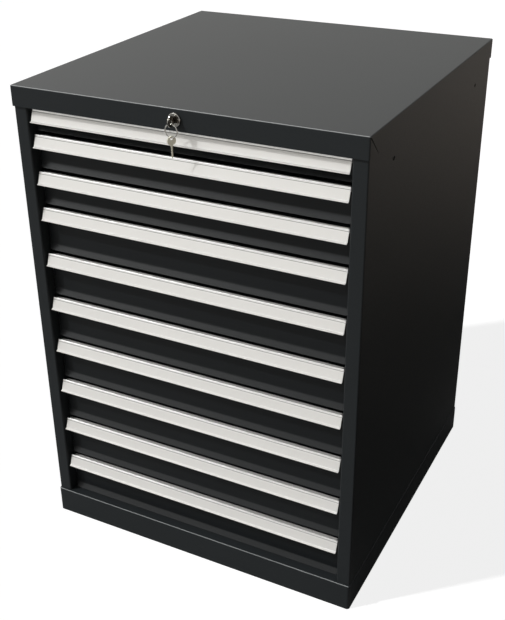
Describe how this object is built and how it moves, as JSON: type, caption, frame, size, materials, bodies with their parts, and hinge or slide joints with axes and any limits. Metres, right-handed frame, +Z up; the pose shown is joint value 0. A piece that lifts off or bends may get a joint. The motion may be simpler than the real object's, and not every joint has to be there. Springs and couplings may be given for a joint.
{
  "type": "drawer tool cabinet",
  "caption": "Steel tool cabinet with full-extension drawers on roller slides, full-width grip handles, a flat lid, a plinth and a keyed central lock with a rear locking bar.",
  "frame": {"origin": "centre of the rectangular footprint of the plinth, at floor level", "axes": "+Z up, -Y out of the drawer fronts, +X to the right seen from the front"},
  "size_m": [0.717, 0.75, 1],
  "materials": {
    "case_paint": "anthracite semi-gloss powder coat",
    "front_paint": "anthracite semi-gloss powder coat",
    "handle_aluminium": "satin anodised extrusion",
    "tray_paint": "light grey powder coat",
    "slide_steel": "zinc plated",
    "lock_nickel": "nickel plated",
    "key_nickel": "nickel silver"
  },
  "bodies": {
    "cabinet": {"top_cover": "case_paint", "left_side_panel": "case_paint", "right_side_panel": "case_paint", "back_panel": "case_paint", "back_panel_screws": "slide_steel", "bottom_panel": "case_paint", "plinth": "case_paint", "left_rail_uprights": "slide_steel", "right_rail_uprights": "slide_steel", "left_fixed_rails": "slide_steel", "right_fixed_rails": "slide_steel", "lock_housing": "lock_nickel", "lock_nut": "lock_nickel", "lock_bar_guides": "slide_steel"},
    "lock_plug": {"lock_plug": "lock_nickel", "lock_shaft": "slide_steel"},
    "locking_bar": {"locking_bar": "slide_steel"},
    "key": {"key": "key_nickel"},
    "drawer_01": {"drawer_01_tray": "tray_paint", "drawer_01_front": "front_paint", "drawer_01_handle": "handle_aluminium"},
    "middle_rails_01": {"drawer_01_middle_rails": "slide_steel"},
    "drawer_02": {"drawer_02_tray": "tray_paint", "drawer_02_front": "front_paint", "drawer_02_handle": "handle_aluminium"},
    "middle_rails_02": {"drawer_02_middle_rails": "slide_steel"},
    "drawer_03": {"drawer_03_tray": "tray_paint", "drawer_03_front": "front_paint", "drawer_03_handle": "handle_aluminium"},
    "middle_rails_03": {"drawer_03_middle_rails": "slide_steel"},
    "drawer_04": {"drawer_04_tray": "tray_paint", "drawer_04_front": "front_paint", "drawer_04_handle": "handle_aluminium"},
    "middle_rails_04": {"drawer_04_middle_rails": "slide_steel"},
    "drawer_05": {"drawer_05_tray": "tray_paint", "drawer_05_front": "front_paint", "drawer_05_handle": "handle_aluminium"},
    "middle_rails_05": {"drawer_05_middle_rails": "slide_steel"},
    "drawer_06": {"drawer_06_tray": "tray_paint", "drawer_06_front": "front_paint", "drawer_06_handle": "handle_aluminium"},
    "middle_rails_06": {"drawer_06_middle_rails": "slide_steel"},
    "drawer_07": {"drawer_07_tray": "tray_paint", "drawer_07_front": "front_paint", "drawer_07_handle": "handle_aluminium"},
    "middle_rails_07": {"drawer_07_middle_rails": "slide_steel"},
    "drawer_08": {"drawer_08_tray": "tray_paint", "drawer_08_front": "front_paint", "drawer_08_handle": "handle_aluminium"},
    "middle_rails_08": {"drawer_08_middle_rails": "slide_steel"},
    "drawer_09": {"drawer_09_tray": "tray_paint", "drawer_09_front": "front_paint", "drawer_09_handle": "handle_aluminium"},
    "middle_rails_09": {"drawer_09_middle_rails": "slide_steel"},
    "drawer_10": {"drawer_10_tray": "tray_paint", "drawer_10_front": "front_paint", "drawer_10_handle": "handle_aluminium"},
    "middle_rails_10": {"drawer_10_middle_rails": "slide_steel"}
  },
  "joints": [
    {"name": "lock_turn", "type": "hinge", "parent": "cabinet", "child": "lock_plug", "pos_m": [0, -0.3625, 0.981], "axis": [0, 1, 0], "range_deg": [0, 90]},
    {"name": "locking_bar_lift", "type": "slide", "parent": "cabinet", "child": "locking_bar", "axis": [0, 0, 1], "range_m": [0, 0.0127]},
    {"name": "key_pull", "type": "slide", "parent": "lock_plug", "child": "key", "axis": [0, -1, 0], "range_m": [0, 0.025]},
    {"name": "drawer_01_slide", "type": "slide", "parent": "cabinet", "child": "drawer_01", "axis": [0, -1, 0], "range_m": [0, 0.6]},
    {"name": "middle_rails_01_slide", "type": "slide", "parent": "cabinet", "child": "middle_rails_01", "axis": [0, -1, 0], "range_m": [0, 0.3]},
    {"name": "drawer_02_slide", "type": "slide", "parent": "cabinet", "child": "drawer_02", "axis": [0, -1, 0], "range_m": [0, 0.6]},
    {"name": "middle_rails_02_slide", "type": "slide", "parent": "cabinet", "child": "middle_rails_02", "axis": [0, -1, 0], "range_m": [0, 0.3]},
    {"name": "drawer_03_slide", "type": "slide", "parent": "cabinet", "child": "drawer_03", "axis": [0, -1, 0], "range_m": [0, 0.6]},
    {"name": "middle_rails_03_slide", "type": "slide", "parent": "cabinet", "child": "middle_rails_03", "axis": [0, -1, 0], "range_m": [0, 0.3]},
    {"name": "drawer_04_slide", "type": "slide", "parent": "cabinet", "child": "drawer_04", "axis": [0, -1, 0], "range_m": [0, 0.6]},
    {"name": "middle_rails_04_slide", "type": "slide", "parent": "cabinet", "child": "middle_rails_04", "axis": [0, -1, 0], "range_m": [0, 0.3]},
    {"name": "drawer_05_slide", "type": "slide", "parent": "cabinet", "child": "drawer_05", "axis": [0, -1, 0], "range_m": [0, 0.6]},
    {"name": "middle_rails_05_slide", "type": "slide", "parent": "cabinet", "child": "middle_rails_05", "axis": [0, -1, 0], "range_m": [0, 0.3]},
    {"name": "drawer_06_slide", "type": "slide", "parent": "cabinet", "child": "drawer_06", "axis": [0, -1, 0], "range_m": [0, 0.6]},
    {"name": "middle_rails_06_slide", "type": "slide", "parent": "cabinet", "child": "middle_rails_06", "axis": [0, -1, 0], "range_m": [0, 0.3]},
    {"name": "drawer_07_slide", "type": "slide", "parent": "cabinet", "child": "drawer_07", "axis": [0, -1, 0], "range_m": [0, 0.6]},
    {"name": "middle_rails_07_slide", "type": "slide", "parent": "cabinet", "child": "middle_rails_07", "axis": [0, -1, 0], "range_m": [0, 0.3]},
    {"name": "drawer_08_slide", "type": "slide", "parent": "cabinet", "child": "drawer_08", "axis": [0, -1, 0], "range_m": [0, 0.6]},
    {"name": "middle_rails_08_slide", "type": "slide", "parent": "cabinet", "child": "middle_rails_08", "axis": [0, -1, 0], "range_m": [0, 0.3]},
    {"name": "drawer_09_slide", "type": "slide", "parent": "cabinet", "child": "drawer_09", "axis": [0, -1, 0], "range_m": [0, 0.6]},
    {"name": "middle_rails_09_slide", "type": "slide", "parent": "cabinet", "child": "middle_rails_09", "axis": [0, -1, 0], "range_m": [0, 0.3]},
    {"name": "drawer_10_slide", "type": "slide", "parent": "cabinet", "child": "drawer_10", "axis": [0, -1, 0], "range_m": [0, 0.6]},
    {"name": "middle_rails_10_slide", "type": "slide", "parent": "cabinet", "child": "middle_rails_10", "axis": [0, -1, 0], "range_m": [0, 0.3]}
  ],
  "couplings": [
    {"joint": "lock_turn", "follows": "locking_bar_lift", "rad_per_m": 123.41},
    {"joint": "middle_rails_01_slide", "follows": "drawer_01_slide", "ratio": 0.5},
    {"joint": "middle_rails_02_slide", "follows": "drawer_02_slide", "ratio": 0.5},
    {"joint": "middle_rails_03_slide", "follows": "drawer_03_slide", "ratio": 0.5},
    {"joint": "middle_rails_04_slide", "follows": "drawer_04_slide", "ratio": 0.5},
    {"joint": "middle_rails_05_slide", "follows": "drawer_05_slide", "ratio": 0.5},
    {"joint": "middle_rails_06_slide", "follows": "drawer_06_slide", "ratio": 0.5},
    {"joint": "middle_rails_07_slide", "follows": "drawer_07_slide", "ratio": 0.5},
    {"joint": "middle_rails_08_slide", "follows": "drawer_08_slide", "ratio": 0.5},
    {"joint": "middle_rails_09_slide", "follows": "drawer_09_slide", "ratio": 0.5},
    {"joint": "middle_rails_10_slide", "follows": "drawer_10_slide", "ratio": 0.5}
  ]
}
